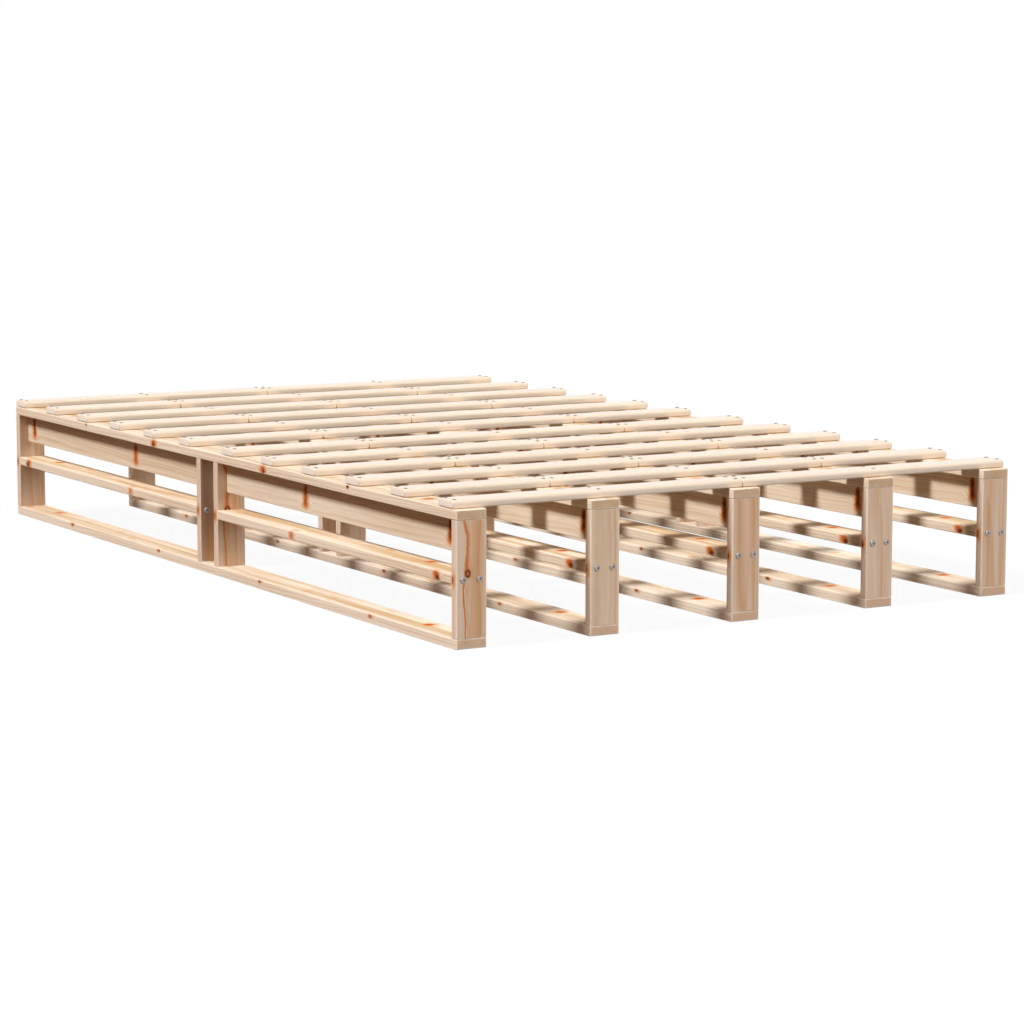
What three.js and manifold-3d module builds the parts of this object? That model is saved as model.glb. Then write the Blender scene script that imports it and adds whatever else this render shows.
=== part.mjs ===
// A low pine bed base. Five frames of planed board stand side by side along the bed,
// and twelve rows of slats are screwed across them to carry a mattress.
// Millimetres, +Z up, +Y toward the head end, +X to the right as seen from the foot end.
// The origin is on the floor, under the middle of the bed.
import * as THREE from "three";
import { mergeVertices } from "three/addons/utils/BufferGeometryUtils.js";
import Module from "manifold-3d";

const wasm = await Module();
wasm.setup();

// Driving dimensions of the bed
const bedLength = 2000;
const frameHeight = 242;
const shortSlatLength = 300;
const longSlatLength = 600;

// Planed board, one stock for every member of a frame
const boardWidth = 60;
const boardThickness = 18;
const boardEdgeRadius = 2;

// Slats, thinner and with well rounded upper edges
const slatWidth = 54;
const slatThickness = 15;
const slatTopRadius = 7;
const slatBottomRadius = 2;
const slatRowsPerHalf = 6;
const footEndInset = 12; // bare end of the top board in front of the last slat
const centreSlatGap = 146; // clear gap between the two middle rows, wider than the others
const slatJointFloor = 2; // wood left under a joint in the rows that are one solid

// Joints of a frame
const centrePostGap = 60; // clear gap between the two posts at mid length
const dowelDiameter = 8;
const dowelDepth = 12; // how far a dowel goes into the board and into the post
const dowelSpacing = 30;
const screwSpacing = 32;
const screwShankDiameter = 5;
const screwHeadDiameter = 12;
const screwHeadHeight = 3.2;
const screwGrip = 45; // length of a screw inside the rail's end
const screwHeadRimShare = 0.4; // height of the head's straight rim
const screwHeadCrownShare = 0.55; // width of the head's flat crown

// Clearances
const jointGap = 0.3; // between boards that touch
const holeClearance = 0.3; // around a dowel or a screw shank
const overrun = 1; // how far a cut runs past the face it opens

// Facets of small round shapes
const edgeSegments = 2;
const slatEdgeSegments = 4;
const dowelSides = 6;
const screwSides = 8;

// Worked out from the driving dimensions
const bedWidth = longSlatLength + 2 * shortSlatLength;
const postHeight = frameHeight - 2 * boardThickness - 2 * jointGap;
const postCentreHeight = frameHeight / 2;
const endPostOffset = (bedLength - boardThickness) / 2;
const centrePostOffset = (centrePostGap + boardThickness) / 2;
const postOffsets = [-endPostOffset, -centrePostOffset, centrePostOffset, endPostOffset];
const railBay = endPostOffset - centrePostOffset - boardThickness;
const railLength = railBay - 2 * jointGap;
const railOffset = (endPostOffset + centrePostOffset) / 2;
const slatGap =
  (bedLength - footEndInset - centreSlatGap - 2 * slatRowsPerHalf * slatWidth) / (2 * (slatRowsPerHalf - 1));
const slatPitch = slatGap + slatWidth;
const slatSeat = frameHeight + jointGap;

const framePine = new THREE.MeshStandardMaterial({
  name: "frame_pine",
  color: 0xd8b58c,
  roughness: 0.62,
  metalness: 0,
  flatShading: true,
});
const slatPine = new THREE.MeshStandardMaterial({
  name: "slat_pine",
  color: 0xeadcc6,
  roughness: 0.58,
  metalness: 0,
  flatShading: true,
});

// Solids: three.js shapes in and out of the boolean library
function toSolid(geometry) {
  const bare = geometry.clone();
  bare.deleteAttribute("normal");
  bare.deleteAttribute("uv");
  const welded = mergeVertices(bare);
  const triVerts = Uint32Array.from(welded.index.array);
  const vertProperties = Float32Array.from(welded.attributes.position.array);
  return new wasm.Manifold(new wasm.Mesh({ numProp: 3, vertProperties, triVerts }));
}

function toGeometry(solid) {
  const { vertProperties, triVerts } = solid.getMesh();
  const geometry = new THREE.BufferGeometry();
  geometry.setAttribute("position", new THREE.BufferAttribute(vertProperties, 3));
  geometry.setIndex(new THREE.BufferAttribute(triVerts, 1));
  geometry.computeVertexNormals();
  return geometry;
}

function subtractAll(solid, cutters) {
  return cutters.reduce((left, cutter) => left.subtract(cutter), solid);
}

function addAll(solid, additions) {
  return additions.reduce((joined, addition) => joined.add(addition), solid);
}

// The section of a planed board: a rectangle with its own radius on the upper and lower edges
function boardSection(width, height, upperRadius, lowerRadius) {
  const halfWidth = width / 2;
  const halfHeight = height / 2;
  const section = new THREE.Shape();
  section.moveTo(-halfWidth + lowerRadius, -halfHeight);
  section.absarc(halfWidth - lowerRadius, -halfHeight + lowerRadius, lowerRadius, -Math.PI / 2, 0);
  section.absarc(halfWidth - upperRadius, halfHeight - upperRadius, upperRadius, 0, Math.PI / 2);
  section.absarc(-halfWidth + upperRadius, halfHeight - upperRadius, upperRadius, Math.PI / 2, Math.PI);
  section.absarc(-halfWidth + lowerRadius, -halfHeight + lowerRadius, lowerRadius, Math.PI, Math.PI * 1.5);
  return section;
}

// A length of the section, centred on the origin and standing up along Z
function extruded(section, length, segments) {
  const geometry = new THREE.ExtrudeGeometry(section, {
    depth: length,
    bevelEnabled: false,
    curveSegments: segments / 2,
  });
  return geometry.translate(0, 0, -length / 2);
}

function frameBoard(width, height, length) {
  return extruded(boardSection(width, height, boardEdgeRadius, boardEdgeRadius), length, edgeSegments);
}

// The same board lying along the bed, with its width along X and its height along Z
function boardAlongBed(width, height, length) {
  return frameBoard(width, height, length).rotateX(Math.PI / 2);
}

// Dowels: two stand in each end of a post and seat in blind holes in the boards
function dowelPair(diameter, length) {
  return [-1, 1].map((side) =>
    new THREE.CylinderGeometry(diameter / 2, diameter / 2, length, dowelSides)
      .rotateX(Math.PI / 2)
      .translate((side * dowelSpacing) / 2, 0, 0)
  );
}

function dowelHoles(faceHeight) {
  const depth = dowelDepth + holeClearance + overrun;
  const diameter = dowelDiameter + 2 * holeClearance;
  return postOffsets.flatMap((offset) =>
    dowelPair(diameter, 2 * depth).map((hole) => toSolid(hole.translate(0, offset, faceHeight)))
  );
}

// Screws: two hold each end of a rail through the post, with the head on the post's far face
function railScrew() {
  const shankRadius = screwShankDiameter / 2;
  const headRadius = screwHeadDiameter / 2;
  const headSeat = screwGrip + boardThickness + 2 * jointGap;
  const profile = [
    new THREE.Vector2(0, 0),
    new THREE.Vector2(shankRadius, 0),
    new THREE.Vector2(shankRadius, headSeat),
    new THREE.Vector2(headRadius, headSeat),
    new THREE.Vector2(headRadius, headSeat + screwHeadHeight * screwHeadRimShare),
    new THREE.Vector2(headRadius * screwHeadCrownShare, headSeat + screwHeadHeight),
    new THREE.Vector2(0, headSeat + screwHeadHeight),
  ];
  return new THREE.LatheGeometry(profile, screwSides).translate(0, railLength / 2 - screwGrip, 0);
}

function railScrews() {
  const screws = [];
  for (const turn of [0, Math.PI]) {
    for (const side of [-1, 1]) {
      screws.push(toSolid(railScrew().translate((side * screwSpacing) / 2, 0, 0).rotateZ(turn)));
    }
  }
  return screws;
}

// A post stands across the bed between the bottom board and the top board
function postGeometry() {
  const block = toSolid(frameBoard(boardWidth, boardThickness, postHeight));
  const dowels = [-1, 1].flatMap((end) =>
    dowelPair(dowelDiameter, 2 * dowelDepth + jointGap).map((dowel) =>
      toSolid(dowel.translate(0, 0, (end * (postHeight + jointGap)) / 2))
    )
  );
  const holeRadius = screwShankDiameter / 2 + holeClearance;
  const screwHoles = [-1, 1].map((side) =>
    toSolid(
      new THREE.CylinderGeometry(holeRadius, holeRadius, boardThickness + 2 * overrun, screwSides).translate(
        (side * screwSpacing) / 2,
        0,
        0
      )
    )
  );
  return toGeometry(subtractAll(addAll(block, dowels), screwHoles));
}

// A rail lies flat at half the frame's height, between an end post and a centre post
function railGeometry() {
  const board = toSolid(boardAlongBed(boardWidth, boardThickness, railLength));
  return toGeometry(addAll(board, railScrews()));
}

// The bottom board lies flat on the floor
function bottomBoardGeometry() {
  const board = toSolid(boardAlongBed(boardWidth, boardThickness, bedLength));
  return toGeometry(subtractAll(board, dowelHoles(boardThickness / 2 + overrun)));
}

// The top beam is the top board with a web board glued on edge under it in each bay
function topBeamGeometry() {
  const board = toSolid(boardAlongBed(boardWidth, boardThickness, bedLength));
  const webHeight = boardWidth + boardThickness / 2;
  const webs = [-1, 1].map((end) =>
    toSolid(boardAlongBed(boardThickness, webHeight, railLength).translate(0, end * railOffset, -webHeight / 2))
  );
  return toGeometry(subtractAll(addAll(board, webs), dowelHoles(-boardThickness / 2 - overrun)));
}

// A slat lies across the bed, with its well rounded edges up
function slatBoard(length) {
  const section = boardSection(slatWidth, slatThickness, slatTopRadius, slatBottomRadius);
  return extruded(section, length, slatEdgeSegments).rotateX(Math.PI / 2).rotateZ(Math.PI / 2);
}

// A row of one long and two short pieces, as one solid with a saw-thin joint beside each short piece
function threePieceSlatGeometry() {
  const jointDepth = slatThickness - slatJointFloor + overrun;
  const joints = [-1, 1].map((side) =>
    toSolid(
      new THREE.BoxGeometry(jointGap, slatWidth + 2 * overrun, jointDepth).translate(
        (side * longSlatLength) / 2,
        0,
        (slatThickness - jointDepth) / 2 + overrun
      )
    )
  );
  return toGeometry(subtractAll(toSolid(slatBoard(bedWidth)), joints));
}

// One frame, as a group that is moved to its place across the bed
function frameGroup(name, shapes) {
  const frame = new THREE.Group();
  const place = (piece, geometry, y, z) => {
    const mesh = new THREE.Mesh(geometry, framePine);
    mesh.name = `${name}_${piece}`;
    mesh.position.set(0, y, z);
    frame.add(mesh);
  };
  place("bottom_board", shapes.bottomBoard, 0, boardThickness / 2);
  place("top_beam", shapes.topBeam, 0, frameHeight - boardThickness / 2);
  place("foot_post", shapes.post, -endPostOffset, postCentreHeight);
  place("foot_side_centre_post", shapes.post, -centrePostOffset, postCentreHeight);
  place("head_side_centre_post", shapes.post, centrePostOffset, postCentreHeight);
  place("head_post", shapes.post, endPostOffset, postCentreHeight);
  place("foot_rail", shapes.rail, -railOffset, postCentreHeight);
  place("head_rail", shapes.rail, railOffset, postCentreHeight);
  return frame;
}

// Slat rows, numbered from the head end, with two-piece and three-piece rows in turn in each half
function slatRowCentre(row) {
  const steps = 2 * slatRowsPerHalf - row;
  const centreStep = row <= slatRowsPerHalf ? centreSlatGap - slatGap : 0;
  return -bedLength / 2 + footEndInset + slatWidth / 2 + steps * slatPitch + centreStep;
}

function isTwoPieceRow(row) {
  const placeFromEnd = row <= slatRowsPerHalf ? row : 2 * slatRowsPerHalf + 1 - row;
  return placeFromEnd % 2 === 1;
}

function slatRow(row, shapes) {
  const slats = new THREE.Group();
  const label = String(row).padStart(2, "0");
  const place = (name, geometry, x) => {
    const mesh = new THREE.Mesh(geometry, slatPine);
    mesh.name = name;
    mesh.position.set(x, slatRowCentre(row), slatSeat + slatThickness / 2);
    slats.add(mesh);
  };
  if (isTwoPieceRow(row)) {
    place(`slat_${label}_left_half`, shapes.halfSlat, -bedWidth / 4);
    place(`slat_${label}_right_half`, shapes.halfSlat, bedWidth / 4);
  } else {
    place(`slat_${label}`, shapes.threePieceSlat, 0);
  }
  return slats;
}

// The whole bed
const shapes = {
  bottomBoard: bottomBoardGeometry(),
  topBeam: topBeamGeometry(),
  post: postGeometry(),
  rail: railGeometry(),
  halfSlat: slatBoard(bedWidth / 2 - jointGap),
  threePieceSlat: threePieceSlatGeometry(),
};

const outerFrameCentre = (bedWidth - boardWidth) / 2;
const innerFrameCentre = longSlatLength / 2;
const frameCentres = {
  left_outer: -outerFrameCentre,
  left_inner: -innerFrameCentre,
  centre: 0,
  right_inner: innerFrameCentre,
  right_outer: outerFrameCentre,
};

const bed = new THREE.Group();
bed.name = "slatted_bed_base";
for (const [name, x] of Object.entries(frameCentres)) {
  const frame = frameGroup(name, shapes);
  frame.position.x = x;
  bed.add(frame);
}
for (let row = 1; row <= 2 * slatRowsPerHalf; row += 1) {
  bed.add(slatRow(row, shapes));
}

export default bed;
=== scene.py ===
# A low bed base of planed, untreated pine. Five frames of board stand side by side along the bed,
# and twelve rows of pale slats are screwed across them. Metres, +Z up, +Y toward the head end.
import math
import random

import bmesh
import bpy
from mathutils import Matrix, Vector


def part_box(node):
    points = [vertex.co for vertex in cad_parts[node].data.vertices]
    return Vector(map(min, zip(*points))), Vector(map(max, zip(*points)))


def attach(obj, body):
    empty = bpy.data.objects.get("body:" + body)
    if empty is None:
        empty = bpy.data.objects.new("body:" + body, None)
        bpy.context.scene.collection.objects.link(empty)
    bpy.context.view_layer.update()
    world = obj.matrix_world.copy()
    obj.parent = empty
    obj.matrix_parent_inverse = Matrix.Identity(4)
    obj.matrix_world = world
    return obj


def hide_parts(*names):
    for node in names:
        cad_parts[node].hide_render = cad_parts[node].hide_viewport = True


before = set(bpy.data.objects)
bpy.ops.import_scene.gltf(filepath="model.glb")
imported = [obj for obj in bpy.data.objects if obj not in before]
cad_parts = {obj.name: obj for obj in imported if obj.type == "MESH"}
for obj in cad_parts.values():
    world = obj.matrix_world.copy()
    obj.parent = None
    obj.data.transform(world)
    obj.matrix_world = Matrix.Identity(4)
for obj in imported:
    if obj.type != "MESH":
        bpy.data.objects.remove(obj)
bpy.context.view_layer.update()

# Bottom boards. Each frame stands on one long board of planed pine, laid flat on the floor.
# The planer has eased its long edges, and the saw has left its ends square, with end grain showing.
# Every other member of a frame is cut from the same 60 by 18 mm stock.
FRAMES = ("left_outer", "left_inner", "centre", "right_inner", "right_outer")
MM = 0.001
X, Y, Z = 0, 1, 2
EASED_EDGE = 2 * MM
FLOOR_EDGE = 0.8 * MM
END_EDGE = 2.2 * MM
LEAST_EDGE = 0.05 * MM
FLAT_END_SLOPE = 0.99  # faces that look further along the board than this are its sawn end
ROUND_END_SLOPE = 0.1  # and than this, the rounded ring next to the end
STOCK_SPREAD = 5.0  # how far apart in one endless log the boards are cut, in metres

SAPWOOD = "#f4e4cf"
HEARTWOOD = "#d3b687"
LATEWOOD = "#cf9f70"
KNOT_COLOURS = ((0, "#d8a27a"), (0.16, "#b97a4c"), (0.36, "#6f2f0e"), (0.54, "#8a4a20"),
                (0.75, "#b97746"), (1, "#d89f6c"))
RESIN_COLOURS = ((0, "#c75426"), (0.28, "#cf6634"), (0.5, "#d98d55"), (1, "#e5b585"))
SAWN_END = "#ddb798"
# The colour of a painted highlight on the eased edges, which stands in for the light they catch
PAINTED_EDGE_HIGHLIGHT = "#f8ead9"

# The wood's patterns, in millimetres along, across and through the board
GRAIN_WAVE = (333.33, 111.11, 111.11)
GRAIN_SWAY = (0, 7.5, 7.5)
SPOT_FRAY_SIZE = 9.0909
SPOT_FRAY = (4, 2, 0.75)
HONEY_BAND = (714.29, 29.412, 29.412)
FIBRE = (111.11, 2.381, 2.381)  # real fibres are finer than a pixel, so they are drawn this coarse
PORE = (math.inf, 1.4286, 9.0909)  # the same for the pores, which run on right through the board

# Growth rings: how far a knot pushes them, and the dark latewood near each ring's outer end
KNOT_PUSH = 10 * MM
KNOT_PUSH_REACH = (0.6, 3.4)  # in half sizes of the knot
LOG_TAPER = 0.012  # how fast a ring narrows along the log, in metres for each metre
YEAR_PACE = 0.35  # runs of good or bad years for each ring, so that a run lasts about three rings
YEAR_SHIFT = 2.4  # by how many ring widths such a run shifts the rings, at most
LATE_IN_RING = ((0, 0.0), (0.4, 0.06), (0.82, 0.9), (0.93, 1.0), (1, 0.1))

# Which part of a pattern's noise shows, and how much darker or paler it makes the wood
BAND_RANGE = (0.34, 0.66)
LINE_RANGE = (0.3, 0.75)
FAINT_LINE = 0.25
FIBRE_RANGE = (0.25, 0.75)
FIBRE_TONE = (-0.08, 0.06)
PORE_RANGE = (0.3, 0.7)
PORE_TONE = (-0.14, 0.08)

# How far from a spot's middle its colour fades into the wood, in half sizes of the spot
RESIN_FADE = (0.7, 2.3)
KNOT_FADE = (0.9, 2.0)

# How far from the board's middle the honey colour fades, and the painted highlight on the eased edges starts
# and is full
HEART_FADE = (14 * MM, 31 * MM)
HONEY_AT_EDGE = 0.15
HIGHLIGHT_ACROSS = (26.8 * MM, 29 * MM)
HIGHLIGHT_THROUGH = (6 * MM, 8.2 * MM)

# The surface of raw pine. Latewood is harder, so the planer leaves it a little proud and smoother
PINE_IOR = 1.45
FIBRE_RELIEF = 0.15 * MM
LATE_RELIEF = 0.6  # as a share of the fibres' relief
LATE_ROUGHNESS = 0.85  # as a share of the wood's roughness

FAR_SPOT = ((0, 0, 1000), (1, 1, 1))  # stands for no spot at all, far outside every board


def linear(hex_colour):
    """An sRGB hex value as linear RGBA."""
    channels = [int(hex_colour[i : i + 2], 16) / 255 for i in (1, 3, 5)]
    return [c / 12.92 if c <= 0.04045 else ((c + 0.055) / 1.055) ** 2.4 for c in channels] + [1]


def blank_nodes(owner):
    """The emptied node tree of a material or of the world."""
    owner.use_nodes = True
    owner.node_tree.nodes.clear()
    return owner.node_tree


def add(tree, kind, inputs=None, stops=None, **settings):
    """Adds a shader node with its settings. An input is a value, or the socket that feeds it, and
    goes by its name or its place. A colour Mix blends places 6 and 7 by place 0, into output 2."""
    node = tree.nodes.new("ShaderNode" + kind)
    for name, value in settings.items():
        setattr(node, name, value)
    for place, value in (inputs or {}).items():
        if isinstance(value, bpy.types.NodeSocket):
            tree.links.new(value, node.inputs[place])
        else:
            node.inputs[place].default_value = value
    if stops:
        elements = node.color_ramp.elements
        while len(elements) < len(stops):
            elements.new(0.5)
        for element, (position, colour) in zip(elements, stops):
            element.position = position
            element.color = linear(colour) if isinstance(colour, str) else [colour] * 3 + [1]
    return node


def per_metre(size):
    """How many steps of a pattern fit in a metre, from its size in millimetres on each axis."""
    return [1 / (s * MM) for s in size]


def nudged(tree, place, noise, reach):
    """A place moved by a noise, by up to a reach in millimetres on each axis."""
    spread = [2 * r * MM for r in reach]
    back = [-r * MM for r in reach]
    nudge = add(tree, "VectorMath", {0: noise, 1: spread, 2: back}, operation="MULTIPLY_ADD").outputs[0]
    return add(tree, "VectorMath", {0: place, 1: nudge}, operation="ADD").outputs[0]


def nearest_spot(tree, place, spots):
    """How far a point is from the nearest spot, as a share of that spot's own half sizes."""
    nearest = None
    for centre, half in spots:
        scale = per_metre(half)
        shift = [-c * MM * s for c, s in zip(centre, scale)]
        inside = add(tree, "VectorMath", {0: place, 1: scale, 2: shift}, operation="MULTIPLY_ADD")
        share = add(tree, "VectorMath", {0: inside.outputs[0]}, operation="LENGTH").outputs["Value"]
        if nearest is None:
            nearest = share
        else:
            nearest = add(tree, "Math", {0: nearest, 1: share}, operation="MINIMUM").outputs[0]
    return nearest


def growth_rings(tree, log, bent, bulge, pith, ring_width):
    """How dark a point is with latewood, from its distance to the pith in ring widths."""
    from_pith = add(tree, "VectorMath", {0: bent, 1: (0, 1, 1), 2: (0, -pith[0] * MM, -pith[1] * MM)},
                    operation="MULTIPLY_ADD").outputs[0]
    radius = add(tree, "VectorMath", {0: from_pith}, operation="LENGTH").outputs["Value"]
    pushed = add(tree, "Math", {0: radius, 1: bulge}, operation="ADD").outputs[0]
    along = add(tree, "SeparateXYZ", {0: log}).outputs["X"]
    tapered = add(tree, "Math", {0: along, 1: LOG_TAPER, 2: pushed}, operation="MULTIPLY_ADD").outputs[0]
    rings = add(tree, "Math", {0: tapered, 1: 1 / (ring_width * MM)}, operation="MULTIPLY").outputs[0]
    years = add(tree, "TexNoise", {"W": rings, "Scale": YEAR_PACE, "Detail": 1.0},
                noise_dimensions="1D").outputs[0]
    uneven = add(tree, "Math", {0: years, 1: YEAR_SHIFT, 2: rings}, operation="MULTIPLY_ADD").outputs[0]
    phase = add(tree, "Math", {0: uneven}, operation="FRACT").outputs[0]
    return add(tree, "ValToRGB", {0: phase}, stops=LATE_IN_RING).outputs[0]


def clear_wood(tree, across, band, fibre, late, sapwood, heartwood, latewood, contrast, fibres):
    """Wood between the knots: honey bands that fade to sapwood at the edges, rings and fibres."""
    off_centre = add(tree, "Math", {0: across}, operation="ABSOLUTE").outputs[0]
    heart = add(tree, "MapRange", {"Value": off_centre, 1: HEART_FADE[0], 2: HEART_FADE[1],
                                   3: 1.0, 4: HONEY_AT_EDGE}, interpolation_type="SMOOTHSTEP").outputs[0]
    banded = add(tree, "MapRange", {"Value": band, 1: BAND_RANGE[0], 2: BAND_RANGE[1]},
                 interpolation_type="SMOOTHSTEP").outputs[0]
    honey = add(tree, "Math", {0: heart, 1: banded}, operation="MULTIPLY").outputs[0]
    ground = add(tree, "Mix", {0: honey, 6: linear(sapwood), 7: linear(heartwood)},
                 data_type="RGBA").outputs[2]

    # The latewood lines are stronger in the honey bands
    strength = add(tree, "MapRange", {"Value": band, 1: LINE_RANGE[0], 2: LINE_RANGE[1],
                                      3: FAINT_LINE * contrast, 4: contrast}).outputs[0]
    line = add(tree, "Math", {0: late, 1: strength}, operation="MULTIPLY").outputs[0]
    ringed = add(tree, "Mix", {0: line, 6: ground, 7: linear(latewood)}, data_type="RGBA").outputs[2]
    shade = add(tree, "MapRange", {"Value": fibre, 1: FIBRE_RANGE[0], 2: FIBRE_RANGE[1],
                                   3: 1 + FIBRE_TONE[0] * fibres, 4: 1 + FIBRE_TONE[1] * fibres}).outputs[0]
    return add(tree, "Mix", {0: 1.0, 6: ringed, 7: shade}, data_type="RGBA",
               blend_type="MULTIPLY").outputs[2]


def marked_wood(tree, wood, knot, red):
    """Resin is orange red and fades into the wood. A knot's brown core turns orange at its rim."""
    red_half = add(tree, "Math", {0: red, 1: 0.5}, operation="MULTIPLY").outputs[0]
    red_colour = add(tree, "ValToRGB", {0: red_half}, stops=RESIN_COLOURS).outputs[0]
    red_share = add(tree, "MapRange", {"Value": red, 1: RESIN_FADE[0], 2: RESIN_FADE[1], 3: 1.0, 4: 0.0},
                    interpolation_type="SMOOTHSTEP").outputs[0]
    reddened = add(tree, "Mix", {0: red_share, 6: wood, 7: red_colour}, data_type="RGBA").outputs[2]
    knot_half = add(tree, "Math", {0: knot, 1: 0.5}, operation="MULTIPLY").outputs[0]
    knot_colour = add(tree, "ValToRGB", {0: knot_half}, stops=KNOT_COLOURS).outputs[0]
    knot_share = add(tree, "MapRange", {"Value": knot, 1: KNOT_FADE[0], 2: KNOT_FADE[1], 3: 1.0, 4: 0.0},
                     interpolation_type="SMOOTHSTEP").outputs[0]
    return add(tree, "Mix", {0: knot_share, 6: reddened, 7: knot_colour}, data_type="RGBA").outputs[2]


def rimmed_wood(tree, here, wood, end, edge_highlight):
    """A painted highlight: the rounded edges, along the board and round its ends, are painted paler than its
    faces, as if they caught the light.
    """
    size = add(tree, "SeparateXYZ", {0: add(tree, "VectorMath", {0: here}, operation="ABSOLUTE").outputs[0]})
    wide = add(tree, "MapRange", {"Value": size.outputs["Y"], 1: HIGHLIGHT_ACROSS[0], 2: HIGHLIGHT_ACROSS[1]},
               interpolation_type="SMOOTHSTEP").outputs[0]
    thick = add(tree, "MapRange", {"Value": size.outputs["Z"], 1: HIGHLIGHT_THROUGH[0], 2: HIGHLIGHT_THROUGH[1]},
                interpolation_type="SMOOTHSTEP").outputs[0]
    corner = add(tree, "Math", {0: wide, 1: thick}, operation="MULTIPLY").outputs[0]
    end_highlight = add(tree, "Math", {0: end, 1: -1}, operation="MULTIPLY").outputs[0]
    either = add(tree, "Math", {0: corner, 1: end_highlight}, operation="MAXIMUM").outputs[0]
    highlight_share = add(tree, "Math", {0: either, 1: edge_highlight}, operation="MULTIPLY").outputs[0]
    return add(tree, "Mix", {0: highlight_share, 6: wood, 7: linear(PAINTED_EDGE_HIGHLIGHT)}, data_type="RGBA").outputs[2]


def sawn_wood(tree, log, wood, end, fibres, end_tone, end_colour):
    """Sawn ends, dotted with pores: darker where end grain drinks the light, or paler as a painted highlight
    on the slats.
    """
    sawn = add(tree, "Math", {0: end, 1: 0}, operation="MAXIMUM").outputs[0]
    end_share = add(tree, "Math", {0: sawn, 1: end_tone}, operation="MULTIPLY").outputs[0]
    pore_place = add(tree, "VectorMath", {0: log, 1: per_metre(PORE)}, operation="MULTIPLY").outputs[0]
    pores = add(tree, "TexNoise", {"Vector": pore_place, "Scale": 1.0, "Detail": 2.0}).outputs[0]
    pore_tone = add(tree, "MapRange", {"Value": pores, 1: PORE_RANGE[0], 2: PORE_RANGE[1],
                                       3: 1 + PORE_TONE[0] * fibres, 4: 1 + PORE_TONE[1] * fibres}).outputs[0]
    end_wood = add(tree, "Mix", {0: 1.0, 6: linear(end_colour), 7: pore_tone}, data_type="RGBA",
                   blend_type="MULTIPLY").outputs[2]
    return add(tree, "Mix", {0: end_share, 6: wood, 7: end_wood}, data_type="RGBA").outputs[2]


def planed_pine(name, knots, resin, pith=(9, -46), ring_width=5.6, sapwood=SAPWOOD, heartwood=HEARTWOOD,
                latewood=LATEWOOD, contrast=0.62, fibres=1.0, edge_highlight=0.4, gloss=0.04, rough=0.7,
                relief=0.5, end_tone=0.85, end_colour=SAWN_END):
    """Pine from the planer, with its spots where they are given. The pith is across and through
    from the board's middle, and the rings are ring_width apart, both in millimetres."""
    material = bpy.data.materials.new(name)
    tree = blank_nodes(material)

    # Where in the board, and where in the log, a point lies: along, across and through the board
    here = add(tree, "Attribute", attribute_name="grain").outputs["Vector"]
    stock = add(tree, "Attribute", attribute_name="stock").outputs["Vector"]
    end = add(tree, "Attribute", attribute_name="end_grain").outputs["Fac"]
    log = add(tree, "VectorMath", {0: here, 1: stock}, operation="ADD").outputs[0]

    # The grain wanders by a few millimetres over a third of a metre
    wave_place = add(tree, "VectorMath", {0: log, 1: per_metre(GRAIN_WAVE)}, operation="MULTIPLY").outputs[0]
    wave = add(tree, "TexNoise", {"Vector": wave_place, "Scale": 1.0, "Detail": 4.0, "Roughness": 0.5})
    bent = nudged(tree, here, wave.outputs["Color"], GRAIN_SWAY)

    # Knots and resin have ragged outlines, and push the rings round themselves
    ragged = add(tree, "TexNoise", {"Vector": log, "Scale": 1 / (SPOT_FRAY_SIZE * MM), "Detail": 2.0})
    spot_place = nudged(tree, here, ragged.outputs["Color"], SPOT_FRAY)
    knot = nearest_spot(tree, spot_place, knots or [FAR_SPOT])
    red = nearest_spot(tree, spot_place, resin or [FAR_SPOT])
    near = add(tree, "Math", {0: knot, 1: red}, operation="MINIMUM").outputs[0]
    bulge = add(tree, "MapRange", {"Value": near, 1: KNOT_PUSH_REACH[0], 2: KNOT_PUSH_REACH[1],
                                   3: KNOT_PUSH, 4: 0.0}, interpolation_type="SMOOTHSTEP").outputs[0]
    late = growth_rings(tree, log, bent, bulge, pith, ring_width)

    # Broad honey bands and fine fibres
    band_place = add(tree, "VectorMath", {0: log, 1: per_metre(HONEY_BAND)}, operation="MULTIPLY").outputs[0]
    band = add(tree, "TexNoise", {"Vector": band_place, "Scale": 1.0, "Detail": 2.0,
                                  "Roughness": 0.6}).outputs[0]
    fibre_place = add(tree, "VectorMath", {0: log, 1: per_metre(FIBRE)}, operation="MULTIPLY").outputs[0]
    fibre = add(tree, "TexNoise", {"Vector": fibre_place, "Scale": 1.0, "Detail": 3.0,
                                   "Roughness": 0.65}).outputs[0]
    across = add(tree, "SeparateXYZ", {0: bent}).outputs["Y"]
    wood = clear_wood(tree, across, band, fibre, late, sapwood, heartwood, latewood, contrast, fibres)
    wood = marked_wood(tree, wood, knot, red)
    # A painted highlight on the eased edges and round the ends
    wood = rimmed_wood(tree, here, wood, end, edge_highlight)
    wood = sawn_wood(tree, log, wood, end, fibres, end_tone, end_colour)

    roughness = add(tree, "MapRange", {"Value": late, 3: rough, 4: LATE_ROUGHNESS * rough}).outputs[0]
    height = add(tree, "Math", {0: late, 1: LATE_RELIEF, 2: fibre}, operation="MULTIPLY_ADD").outputs[0]
    bump = add(tree, "Bump", {"Height": height, "Strength": relief, "Distance": FIBRE_RELIEF}).outputs[0]
    surface = add(tree, "BsdfPrincipled", {"Base Color": wood, "Roughness": roughness, "Normal": bump,
                                           "IOR": PINE_IOR, "Specular IOR Level": gloss})
    add(tree, "OutputMaterial", {"Surface": surface.outputs[0]})
    return material


def placed(name, shape, material):
    """The finished shape as a piece in the scene."""
    mesh = bpy.data.meshes.new(name)
    shape.to_mesh(mesh)
    shape.free()
    mesh.materials.append(material)
    piece = bpy.data.objects.new(name, mesh)
    bpy.context.scene.collection.objects.link(piece)
    return piece


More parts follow.
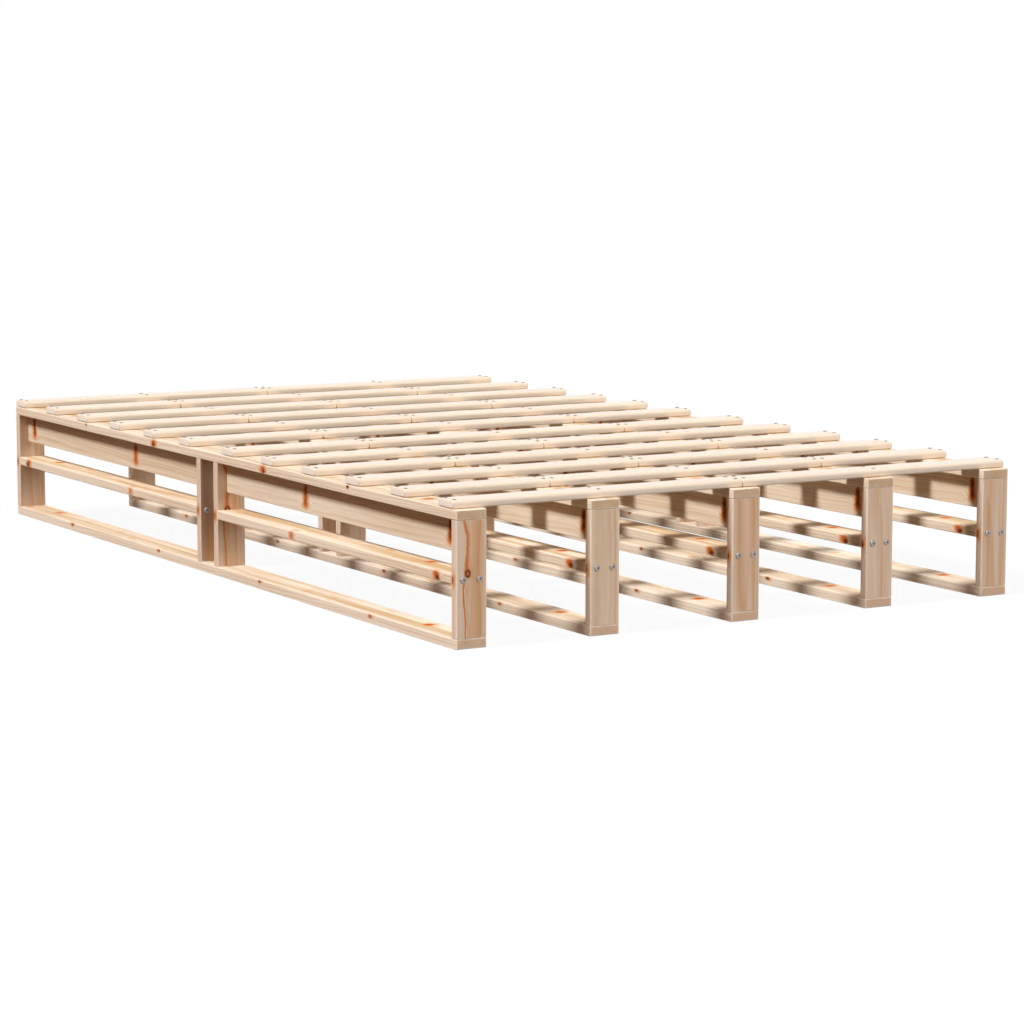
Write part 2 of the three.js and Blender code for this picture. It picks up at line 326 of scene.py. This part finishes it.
def board(name, low, high, grain, across, material, upper_edge=EASED_EDGE, lower_edge=EASED_EDGE,
          end_edge=END_EDGE, segments=3, turn=1):
    """A planed board that fills the box from low to high. Its grain runs along one axis, and
    another axis goes across its wide face. Turn -1 lays it the other way round."""
    through = 3 - grain - across
    size, centre = high - low, (low + high) / 2
    shape = bmesh.new()

    # Rings of points round the board. Near an end they draw in along a quarter circle
    steps = [math.pi / 2 * i / segments for i in range(segments + 1)]
    near_end = [(size[grain] / 2 - end_edge * (1 - math.sin(a)), end_edge * (1 - math.cos(a))) for a in steps]
    loops = []
    for place, inset in [(-place, inset) for place, inset in reversed(near_end)] + near_end:
        loop = []
        for turns, side, face, edge in ((0, 1, 1, upper_edge), (1, -1, 1, upper_edge),
                                        (2, -1, -1, lower_edge), (3, 1, -1, lower_edge)):
            radius = max(edge - inset, LEAST_EDGE)
            for a in steps:
                angle = a + turns * math.pi / 2
                point = centre.copy()
                point[grain] += place
                point[across] += side * (size[across] / 2 - inset - radius) + radius * math.cos(angle)
                point[through] += face * (size[through] / 2 - inset - radius) + radius * math.sin(angle)
                loop.append(shape.verts.new(point))
        loops.append(loop)
    for first, second in zip(loops, loops[1:]):
        for i in range(len(first)):
            j = (i + 1) % len(first)
            shape.faces.new((first[i], first[j], second[j], second[i]))
    shape.faces.new(loops[0])
    shape.faces.new(loops[-1])
    bmesh.ops.recalc_face_normals(shape, faces=shape.faces)
    piece = placed(name, shape, material)

    # What the material reads: the place in the board, the place of the board in the log, and the
    # kind of face, which is 1 on a sawn end, -1 on the rounded ring next to it and 0 elsewhere
    mesh = piece.data
    places = []
    for vertex in mesh.vertices:
        at = vertex.co - centre
        places += [at[grain] * turn, at[across], at[through]]
    offset = [random.Random(name + str(axis)).uniform(0, STOCK_SPREAD) for axis in range(3)]
    slopes = [abs(face.normal[grain]) for face in mesh.polygons]
    ends = [1.0 if s > FLAT_END_SLOPE else -1.0 if s > ROUND_END_SLOPE else 0.0 for s in slopes]
    mesh.attributes.new("grain", "FLOAT_VECTOR", "POINT").data.foreach_set("vector", places)
    stock = mesh.attributes.new("stock", "FLOAT_VECTOR", "POINT")
    stock.data.foreach_set("vector", offset * len(mesh.vertices))
    mesh.attributes.new("end_grain", "FLOAT", "FACE").data.foreach_set("value", ends)
    for face in mesh.polygons:
        face.use_smooth = True
    piece.modifiers.new("flat_faces", "WEIGHTED_NORMAL").keep_sharp = True
    return piece


def both_ends(spots):
    """The same spots at both ends of a board, because its two halves were sawn from one plank."""
    return [((end * x, y, z), half) for (x, y, z), half in spots for end in (-1, 1)]


# Spots are (along, across, through) from the board's middle, then their half sizes, in millimetres
BOTTOM_KNOTS = both_ends([((684, -32.8, 5), (5, 3, 3.4)), ((233, -32.8, 6), (5, 3, 3.4)),
                          ((510, 32, -3), (7, 4, 4))])
BOTTOM_RESIN = both_ends([((841, 5, 9), (9, 10, 3)), ((498, -4, 11.6), (6, 9, 2)),
                          ((400, -14, 11.6), (9, 9, 2)), ((674, 17, 11.9), (14, 3, 2)),
                          ((686, -33, 5), (9, 3, 4)), ((236, -33, 6), (9, 3, 4)), ((968, -12, 10), (7, 6, 2)),
                          ((300, 30, 2), (7, 3, 7))])
CREAM_SAPWOOD = "#f6e8d5"

# Raw planed pine: a clean, dull face. The eye sees honey bands and thin rings, but hardly a sheen
bottom_pine = planed_pine("planed_pine_bottom_board", BOTTOM_KNOTS, BOTTOM_RESIN, sapwood=CREAM_SAPWOOD)
# The same from paler planks, in which the honey bands are faint
pale_bottom_pine = planed_pine("planed_pine_pale_bottom_board", BOTTOM_KNOTS, BOTTOM_RESIN,
                               sapwood=CREAM_SAPWOOD, heartwood="#e0ceb3")

for label in FRAMES:
    node = f"{label}_bottom_board"
    low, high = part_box(node)
    material = bottom_pine if label == "left_outer" else pale_bottom_pine
    piece = board(f"{label}_bottom_plank", low, high, Y, X, material, lower_edge=FLOOR_EDGE)
    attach(piece, "root")
    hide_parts(node)
board_thickness = high.z - low.z

# Posts. Two posts stand at the ends of each frame and two at mid length, 60 mm apart. Each is a
# short board on end, glued on hidden dowels between the bottom board and the top board.
JOINT_GAP = 0.3 * MM
SAWN_EDGE = 0.5 * MM
POST_PITH = (-20, 60)
# How strongly the posts' eased edges get the painted highlight
POST_EDGE_HIGHLIGHT = 0.8
POST_PALE = "#e9d2bd"
POST_TAN = "#deb48c"
POST_LATEWOOD = "#c99468"
POST_KNOTS = [((-2, -32.8, 3.5), (6, 3, 2.6))]
POST_RESIN = [((-2, -33, 2), (12, 3.5, 7))]
STREAK_PATH = ((104, -15.5, 2.2), (98, -14, 2.4), (77, -7.5, 2.8), (62, -7.2, 2.6), (47, -8, 2.6),
               (27, -9.4, 4), (14, -8.6, 5.4), (0, -13.5, 1.4), (-13, -16.5, 1.6), (-41, -15.4, 1.6),
               (-56, -13.8, 1.5), (-71, -12.4, 1.4), (-104, -12.4, 1.3))
STREAK_STEP = 5
STREAK_HALF_LENGTH = 1.1 * STREAK_STEP
STREAK_NARROWING = 0.9
STREAK_DEPTH = 11.8
STREAK_HALF_DEPTH = 4


def streak(path):
    """A thin line of resin, as a row of long spots just under the face along a path. The path's
    points are along and across the board, with the half width of the line there."""
    spots = []
    for start, stop in zip(path, path[1:]):
        count = max(1, round(abs(stop[0] - start[0]) / STREAK_STEP))
        for i in range(count):
            share = (i + 0.5) / count
            along, across, half = [a + share * (b - a) for a, b in zip(start, stop)]
            half_sizes = (STREAK_HALF_LENGTH, STREAK_NARROWING * half, STREAK_HALF_DEPTH)
            spots.append(((along, across, -STREAK_DEPTH), half_sizes))
    return spots


MARKED_KNOTS = [((10, -7.6, -9), (5.4, 4.6, 6)), *POST_KNOTS]
MARKED_RESIN = [*streak(STREAK_PATH), *POST_RESIN]
POSTS = ("foot_post", "foot_side_centre_post", "head_side_centre_post", "head_post")

# Raw planed pine from browner planks: dull and tan, with a strong painted highlight on its eased edges
plain_post_pine = planed_pine("planed_pine_post", POST_KNOTS, POST_RESIN, pith=POST_PITH, edge_highlight=POST_EDGE_HIGHLIGHT,
                              sapwood=POST_PALE, heartwood=POST_TAN, latewood=POST_LATEWOOD)
# The same from a paler plank, so that its face looks more even
pale_post_pine = planed_pine("planed_pine_pale_post", POST_KNOTS, POST_RESIN, pith=POST_PITH, edge_highlight=POST_EDGE_HIGHLIGHT,
                             sapwood="#ecd6be", heartwood="#e2c5a6", latewood=POST_LATEWOOD)
# The same with a knot and a long streak of resin, which draw the eye to the near corner
marked_post_pine = planed_pine("planed_pine_resinous_post", MARKED_KNOTS, MARKED_RESIN, pith=POST_PITH,
                               edge_highlight=POST_EDGE_HIGHLIGHT, sapwood=POST_PALE, heartwood=POST_TAN, latewood=POST_LATEWOOD)
foot_half_pine = {"left_outer": marked_post_pine, "left_inner": pale_post_pine}

post_box = {}
for label in FRAMES:
    floor_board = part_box(f"{label}_bottom_board")
    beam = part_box(f"{label}_top_beam")
    for kind in POSTS:
        node = f"{label}_{kind}"
        low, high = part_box(node)
        low.z = floor_board[1].z + JOINT_GAP
        high.z = beam[1].z - board_thickness - JOINT_GAP
        in_foot_half = kind.startswith("foot")
        material = foot_half_pine.get(label, plain_post_pine) if in_foot_half else plain_post_pine
        piece = board(f"{node}_board", low, high, Z, X, material, end_edge=SAWN_EDGE)
        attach(piece, "root")
        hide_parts(node)
        post_box[node] = (low, high)

# Rails. A flat board at half height joins an end post to a centre post in each half of a frame.
# Its ends are sawn square and butt against the posts.
RAIL_KNOTS = [((-419, -33, -3), (7, 4, 5))]
RAIL_RESIN = [((-413, -30, 1), (9, 4, 8)), ((143, -32.5, 0), (9, 3, 9)), ((143, -22, 11.5), (9, 7, 2)),
              ((-327, 8, 9), (9, 10, 3)), ((17, -2, 12), (6, 9, 2)), ((-168, 13, 11), (14, 3, 2)),
              ((220, 30, 0), (3, 4, 9))]
# Raw planed pine: dull, with honey bands, and glowing spots of resin on its edge and top
rail_pine = planed_pine("planed_pine_rail", RAIL_KNOTS, RAIL_RESIN, pith=(4, -60))

# Each half of a frame: its name, the posts at its foot end and its head end, and how its boards lie
HALVES = (("foot", "foot_post", "foot_side_centre_post", 1),
          ("head", "head_side_centre_post", "head_post", -1))
for label in FRAMES:
    for half, near_post, far_post, turn in HALVES:
        node = f"{label}_{half}_rail"
        low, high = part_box(node)
        low.y = post_box[f"{label}_{near_post}"][1].y + JOINT_GAP
        high.y = post_box[f"{label}_{far_post}"][0].y - JOINT_GAP
        piece = board(f"{node}_board", low, high, Y, X, rail_pine, end_edge=SAWN_EDGE, turn=turn)
        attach(piece, "root")
        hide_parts(node)

# Rail screws. Two zinc-plated pan-head screws go through each post into the end of its rail.
# The heads stand proud of the post, each with a cross recess for the driver.
SCREW_SPACING = 32 * MM
HEAD_RADIUS = 6 * MM
HEAD_HEIGHT = 2.8 * MM
SHANK_RADIUS = 2.5 * MM
SHANK_LENGTH = 63 * MM
SHANK_TIP = 8 * MM
CROSS_AT_TOP = (2.4 * MM, 0.9 * MM)  # a cross is the length and the half width of its arms
CROSS_AT_FLOOR = (1.8 * MM, 0.7 * MM)
SCREW_POINTS = 32
ZINC = "#b4aba6"
CLOUD_SIZE = 1.1111 * MM
CLOUD_RANGE = (0.3, 0.7)
CLOUD_TINT = (0.82, 1.0)
CLOUD_ROUGHNESS = (-0.05, 0.08)
CLOUD_BUMP = 0.2
CLOUD_RELIEF = 0.02 * MM


def cross_radius(angle, arm, half_width):
    """The outline of a cross recess, as a distance from its middle."""
    turned = (angle + math.pi / 4) % (math.pi / 2) - math.pi / 4
    if abs(math.tan(turned)) < half_width / arm:
        return arm / math.cos(turned)
    return half_width / abs(math.sin(turned))


def screws(name, centres, facing, rings, recess_floor, tip, material):
    """Like screws on one object, each made of rings about its own axis, closed to a point at both
    ends. A ring is a height and either a radius or the arm and half width of a cross."""
    shape = bmesh.new()
    spin = Vector((0, 0, 1)).rotation_difference(Vector(facing)).to_matrix()
    angles = [2 * math.pi * i / SCREW_POINTS for i in range(SCREW_POINTS)]
    for centre in centres:
        loops = []
        for height, *outline in rings:
            radii = [cross_radius(a, *outline) if len(outline) == 2 else outline[0] for a in angles]
            points = [Vector((r * math.cos(a), r * math.sin(a), height)) for r, a in zip(radii, angles)]
            loops.append([shape.verts.new(centre + spin @ p) for p in points])
        for lower, upper in zip(loops, loops[1:]):
            for i in range(SCREW_POINTS):
                j = (i + 1) % SCREW_POINTS
                shape.faces.new((lower[i], lower[j], upper[j], upper[i]))
        for loop, height, order in ((loops[0], tip, -1), (loops[-1], recess_floor, 1)):
            point = shape.verts.new(centre + spin @ Vector((0, 0, height)))
            for i in range(SCREW_POINTS):
                corner = (loop[i], loop[(i + 1) % SCREW_POINTS], point)
                shape.faces.new(corner[::order])
    bmesh.ops.recalc_face_normals(shape, faces=shape.faces)
    return placed(name, shape, material)


def plated_steel(name, colour, roughness):
    """Steel with a plated coat, a little cloudy from its passivation."""
    material = bpy.data.materials.new(name)
    tree = blank_nodes(material)
    place = add(tree, "TexCoord").outputs["Object"]
    cloud = add(tree, "TexNoise", {"Vector": place, "Scale": 1 / CLOUD_SIZE, "Detail": 2.0}).outputs[0]
    tint = add(tree, "MapRange", {"Value": cloud, 1: CLOUD_RANGE[0], 2: CLOUD_RANGE[1],
                                  3: CLOUD_TINT[0], 4: CLOUD_TINT[1]}).outputs[0]
    base = add(tree, "Mix", {0: 1.0, 6: linear(colour), 7: tint}, data_type="RGBA",
               blend_type="MULTIPLY").outputs[2]
    blur = add(tree, "MapRange", {"Value": cloud, 1: CLOUD_RANGE[0], 2: CLOUD_RANGE[1],
                                  3: roughness + CLOUD_ROUGHNESS[0],
                                  4: roughness + CLOUD_ROUGHNESS[1]}).outputs[0]
    bump = add(tree, "Bump", {"Height": cloud, "Strength": CLOUD_BUMP, "Distance": CLOUD_RELIEF}).outputs[0]
    surface = add(tree, "BsdfPrincipled", {"Base Color": base, "Roughness": blur, "Normal": bump,
                                           "Metallic": 1.0})
    add(tree, "OutputMaterial", {"Surface": surface.outputs[0]})
    return material


PAN_HEAD = ((SHANK_TIP - SHANK_LENGTH, SHANK_RADIUS), (0, SHANK_RADIUS), (0, 0.84 * HEAD_RADIUS),
            (0.3 * HEAD_HEIGHT, HEAD_RADIUS), (0.5 * HEAD_HEIGHT, HEAD_RADIUS),
            (0.8 * HEAD_HEIGHT, 0.93 * HEAD_RADIUS), (0.96 * HEAD_HEIGHT, 0.8 * HEAD_RADIUS),
            (HEAD_HEIGHT, 0.62 * HEAD_RADIUS), (HEAD_HEIGHT, *CROSS_AT_TOP),
            (0.1 * HEAD_HEIGHT, *CROSS_AT_FLOOR))
# Zinc-plated steel: a soft grey mirror, so each head is a small bright dot with a dark cross in it
zinc = plated_steel("zinc_plated_steel", ZINC, 0.55)

for label in FRAMES:
    for half, near_post, far_post, _ in HALVES:
        rail_low, rail_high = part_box(f"{label}_{half}_rail")
        middle = (rail_low + rail_high) / 2
        for kind, side in ((near_post, -1), (far_post, 1)):
            face = post_box[f"{label}_{kind}"][0 if side < 0 else 1].y
            centres = [Vector((middle.x + s * SCREW_SPACING / 2, face, middle.z)) for s in (-1, 1)]
            piece = screws(f"{label}_{kind}_screws", centres, (0, side, 0), PAN_HEAD,
                           0, -SHANK_LENGTH, zinc)
            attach(piece, "root")
            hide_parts(f"{label}_{half}_rail")

# Top boards. One long flat board caps each frame and carries the slats. A web board stands on edge
# under it in each half, glued to its underside, so that the two make a stiff T beam.
TOP_KNOTS = both_ends([((254, -33, -3), (6, 4, 4.5)), ((601, -32.8, 6), (5.5, 3, 4)),
                       ((730, 32, -2), (6, 4, 5))])
TOP_RESIN = both_ends([((843, 3, 9), (9, 10, 3)), ((490, -1, 12), (6, 9, 2)), ((330, 25, 9), (18, 2.5, 3)),
                       ((252, -30, 0), (10, 4, 7)), ((420, 30, 0), (7, 4, 9))])
WEB_KNOTS = [((125, 10, -12), (5, 11, 3)), ((125, -7, -12.2), (5.5, 8, 3)),
             ((-428, 12, -11.4), (5, 13, 3)), ((-427, -5, -11.6), (6, 9, 3))]
WEB_RESIN = [((125, 12, -9), (6, 10, 4)), ((125, 0, -9), (9, 9, 4)), ((125, -13, -10), (10, 7, 4)),
             ((-428, 14, -9), (6, 10, 4)), ((-428, 2, -9), (8, 9, 4)), ((-427, -10, -9), (9, 8, 4)),
             ((-200, -10, 9), (7, 11, 5))]
# Raw planed pine: dull honey and cream, with sawn ends that look deeper in colour than its faces
top_pine = planed_pine("planed_pine_top_board", TOP_KNOTS, TOP_RESIN, pith=(-8, -52), end_colour="#d3b392")
# Raw planed pine with wide rings: pale and even, so its dark upright knots stand out
web_pine = planed_pine("planed_pine_web", WEB_KNOTS, WEB_RESIN, pith=(-55, 34), ring_width=7.0,
                       sapwood="#efe0ca", heartwood="#e2cfb4", contrast=0.55)

for label in FRAMES:
    node = f"{label}_top_beam"
    low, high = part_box(node)
    web_bottom = low.z
    low.z = high.z - board_thickness
    piece = board(f"{label}_top_plank", low, high, Y, X, top_pine)
    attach(piece, "root")
    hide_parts(node)
    left = (low.x + high.x) / 2 - board_thickness / 2
    right = (low.x + high.x) / 2 + board_thickness / 2
    for half, near_post, far_post, turn in HALVES:
        start = post_box[f"{label}_{near_post}"][1].y + JOINT_GAP
        stop = post_box[f"{label}_{far_post}"][0].y - JOINT_GAP
        web_low, web_high = Vector((left, start, web_bottom)), Vector((right, stop, low.z))
        piece = board(f"{label}_{half}_web", web_low, web_high, Y, Z, web_pine,
                      end_edge=SAWN_EDGE, turn=turn)
        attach(piece, "root")
        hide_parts(node)

# Slats. Twelve rows of pale pine lie across the frames, in pieces of 300 and 600 mm that butt over
# a frame. Their upper edges and their ends are well rounded, so that they don't cut the mattress.
SLAT_TOP_EDGE = 7 * MM
SLAT_LOWER_EDGE = 4 * MM
SLAT_END_EDGE = 3.5 * MM
SLAT_EDGE_SEGMENTS = 6
SLAT_JOINT = 0.6 * MM
SLAT_ROWS = 12
# Planed and sanded pine: almost plain cream, with a satin sheen and no raised grain
# Its sawn ends are painted paler than the wood, a painted highlight that makes them as bright as the lit tops
slat_pine = planed_pine("planed_pine_slat", [], [], sapwood="#e7d6c2", heartwood="#e5d2bd",
                        latewood="#d9b899", contrast=0.14, fibres=0.2, edge_highlight=0, gloss=0.4, rough=0.2,
                        relief=0.03, end_tone=1, end_colour="#f8ebdc")

for row in range(1, SLAT_ROWS + 1):
    label = f"slat_{row:02d}"
    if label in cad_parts:
        low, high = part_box(label)
        nodes = (label,)
        quarter = (high.x - low.x) / 4
        cuts = (low.x, low.x + quarter, high.x - quarter, high.x)
        names = ("left_end", "middle", "right_end")
    else:
        nodes = (f"{label}_left_half", f"{label}_right_half")
        low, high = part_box(nodes[0])[0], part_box(nodes[1])[1]
        cuts = (low.x, 0, high.x)
        names = ("left", "right")
    for name, start, stop in zip(names, cuts, cuts[1:]):
        piece_low, piece_high = low.copy(), high.copy()
        piece_low.x = start + (SLAT_JOINT / 2 if start != low.x else 0)
        piece_high.x = stop - (SLAT_JOINT / 2 if stop != high.x else 0)
        piece = board(f"{label}_{name}_piece", piece_low, piece_high, X, Y, slat_pine, SLAT_TOP_EDGE,
                      SLAT_LOWER_EDGE, SLAT_END_EDGE, SLAT_EDGE_SEGMENTS)
        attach(piece, "root")
        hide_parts(*nodes)

# Slat screws. Every piece of a slat is held by two small screws on each frame that it crosses,
# close to its end where it butts against the next piece. Their heads are painted dark grey: painted shade for
# the countersinks that they sit in.
SLAT_SCREW_SPACING = 32 * MM
SLAT_SCREW_END = 9 * MM
SLAT_HEAD_RADIUS = 3.6 * MM
SLAT_HEAD_HEIGHT = 0.9 * MM
SLAT_HEAD_DEPTH = 3 * MM
SLAT_SHANK_RADIUS = 1.6 * MM
SLAT_SHANK = 30 * MM
SLAT_SHANK_TIP = 5 * MM
SLAT_CROSS_AT_TOP = (2.1 * MM, 0.6 * MM)
SLAT_CROSS_AT_FLOOR = (1.6 * MM, 0.4 * MM)
SLAT_CROSS_HEIGHT = 0.2 * MM
SLAT_RECESS_FLOOR = 0.15 * MM
# Darker than the zinc: painted shade for the countersinks round the heads
SHADED_STEEL = "#8b8782"
COUNTERSUNK_HEAD = ((SLAT_SHANK_TIP - SLAT_SHANK, SLAT_SHANK_RADIUS), (-SLAT_HEAD_DEPTH, SLAT_SHANK_RADIUS),
                    (0, SLAT_HEAD_RADIUS), (0.6 * SLAT_HEAD_HEIGHT, SLAT_HEAD_RADIUS),
                    (SLAT_HEAD_HEIGHT, 0.86 * SLAT_HEAD_RADIUS), (SLAT_HEAD_HEIGHT, *SLAT_CROSS_AT_TOP),
                    (SLAT_CROSS_HEIGHT, *SLAT_CROSS_AT_FLOOR))
# Plated steel painted darker than the zinc, as painted shade for the countersinks: a grey, blurred shine, so
# the heads are quiet dots on the pale slats
shaded_steel = plated_steel("plated_steel_with_painted_shade", SHADED_STEEL, 0.45)

frame_centres = [sum(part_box(f"{label}_bottom_board"), Vector()).x / 2 for label in FRAMES]
for row in range(1, SLAT_ROWS + 1):
    label = f"slat_{row:02d}"
    three_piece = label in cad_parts
    first, last = (label, label) if three_piece else (f"{label}_left_half", f"{label}_right_half")
    low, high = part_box(first)[0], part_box(last)[1]
    joints = frame_centres[1:4:2] if three_piece else frame_centres[2:3]
    inner = [x for x in frame_centres[1:4] if x not in joints]
    stations = [low.x + SLAT_SCREW_END, high.x - SLAT_SCREW_END, *inner]
    stations += [x + side * SLAT_SCREW_END for x in joints for side in (-1, 1)]
    middle = (low.y + high.y) / 2
    lines = [middle - SLAT_SCREW_SPACING / 2, middle + SLAT_SCREW_SPACING / 2]
    centres = [Vector((x, y, high.z)) for x in stations for y in lines]
    piece = screws(f"{label}_screws", centres, (0, 0, 1), COUNTERSUNK_HEAD,
                   SLAT_RECESS_FLOOR, -SLAT_SHANK, shaded_steel)
    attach(piece, "root")

# Studio. The bed base stands on a plain white floor under a soft lamp from the left, with a warm
# glow round it, a broad one from the front, a weak one from behind and an even pale surround.
FLOOR_HALF = 12.0
FLOOR_DROP = 0.2 * MM
FLOOR_WHITE = (0.95, 0.95, 0.95, 1)
FLOOR_BOUNCE = (0.06, 0.032, 0.018, 1)  # what the floor throws back at the pine: little, and warm
FLOOR_GLOW_SHARE = 0.94
SURROUND_LIGHT = 0.002
WHITE = (1, 1, 1)
WARM = (1, 0.46, 0.28)
# Each lamp has the direction it comes from, its strength, its width in degrees and its colour
LAMPS = {"key": ((-1, 0.04, 1.24), 3.5, 13, WHITE),
         "halo": ((-1, 0, 0.48), 0.43, 70, WARM),
         "fill": ((0.5, -1, 0.1), 3.85, 80, WHITE),
         "back": ((0.6, 1, 0.04), 1.1, 30, WHITE)}
MIRRORED_LAMPS = ("key", "halo")  # the slats' tops would mirror the other two, which are low, as white
CAMERA_PLACE = (-3.264, -5.707, 0.975)
CAMERA_YAW = 0.53256
CAMERA_PITCH = -0.13517
CAMERA_ROLL = 0.00149
CAMERA_LENS = 112.6
CAMERA_SENSOR = 36
CAMERA_REACH = 100


def seen_or_mirrored(tree):
    """1 for what the camera or a mirror sees of a surface, 0 for the light that it passes on."""
    path = add(tree, "LightPath")
    return add(tree, "Math", {0: path.outputs["Is Camera Ray"], 1: path.outputs["Is Glossy Ray"]},
               operation="MAXIMUM").outputs[0]


# White paint on a studio floor: it fades into the surround and keeps the soft shadow
floor_paint = bpy.data.materials.new("white_floor_paint")
tree = blank_nodes(floor_paint)
seen = seen_or_mirrored(tree)
glow_share = add(tree, "Math", {0: seen, 1: FLOOR_GLOW_SHARE}, operation="MULTIPLY").outputs[0]
tone = add(tree, "Mix", {0: seen, 6: FLOOR_BOUNCE, 7: FLOOR_WHITE}, data_type="RGBA").outputs[2]
paint = add(tree, "BsdfDiffuse", {"Color": tone}).outputs[0]
glow = add(tree, "Emission", {"Color": (*WHITE, 1), "Strength": 1.0}).outputs[0]
mixed = add(tree, "MixShader", {0: glow_share, 1: paint, 2: glow}).outputs[0]
add(tree, "OutputMaterial", {"Surface": mixed})

floor_shape = bmesh.new()
bmesh.ops.create_grid(floor_shape, x_segments=1, y_segments=1, size=FLOOR_HALF,
                      matrix=Matrix.Translation((0, 0, -FLOOR_DROP)))
floor = placed("floor", floor_shape, floor_paint)

world = bpy.data.worlds.new("surround")
bpy.context.scene.world = world
tree = blank_nodes(world)
ambient = add(tree, "Background", {"Color": (*WHITE, 1), "Strength": SURROUND_LIGHT}).outputs[0]
white = add(tree, "Background", {"Color": (*WHITE, 1), "Strength": 1.0}).outputs[0]
mixed = add(tree, "MixShader", {0: seen_or_mirrored(tree), 1: ambient, 2: white}).outputs[0]
add(tree, "OutputWorld", {"Surface": mixed})

for name, (direction, strength, width, tint) in LAMPS.items():
    lamp = bpy.data.lights.new(name, "SUN")
    lamp.energy = strength
    lamp.color = tint
    lamp.angle = math.radians(width)
    holder = bpy.data.objects.new(name, lamp)
    holder.rotation_euler = Vector(direction).to_track_quat("Z", "Y").to_euler()
    holder.visible_glossy = name in MIRRORED_LAMPS
    bpy.context.scene.collection.objects.link(holder)

camera = bpy.data.objects.new("camera", bpy.data.cameras.new("camera"))
camera.data.lens = CAMERA_LENS
camera.data.sensor_width = CAMERA_SENSOR
camera.data.clip_end = CAMERA_REACH
turned = Matrix.Rotation(-CAMERA_YAW, 4, "Z") @ Matrix.Rotation(math.pi / 2 + CAMERA_PITCH, 4, "X")
rolled = Matrix.Rotation(CAMERA_ROLL, 4, "Z")
camera.matrix_world = Matrix.Translation(CAMERA_PLACE) @ turned @ rolled
bpy.context.scene.collection.objects.link(camera)
bpy.context.scene.camera = camera
bpy.context.scene.view_settings.view_transform = "Standard"
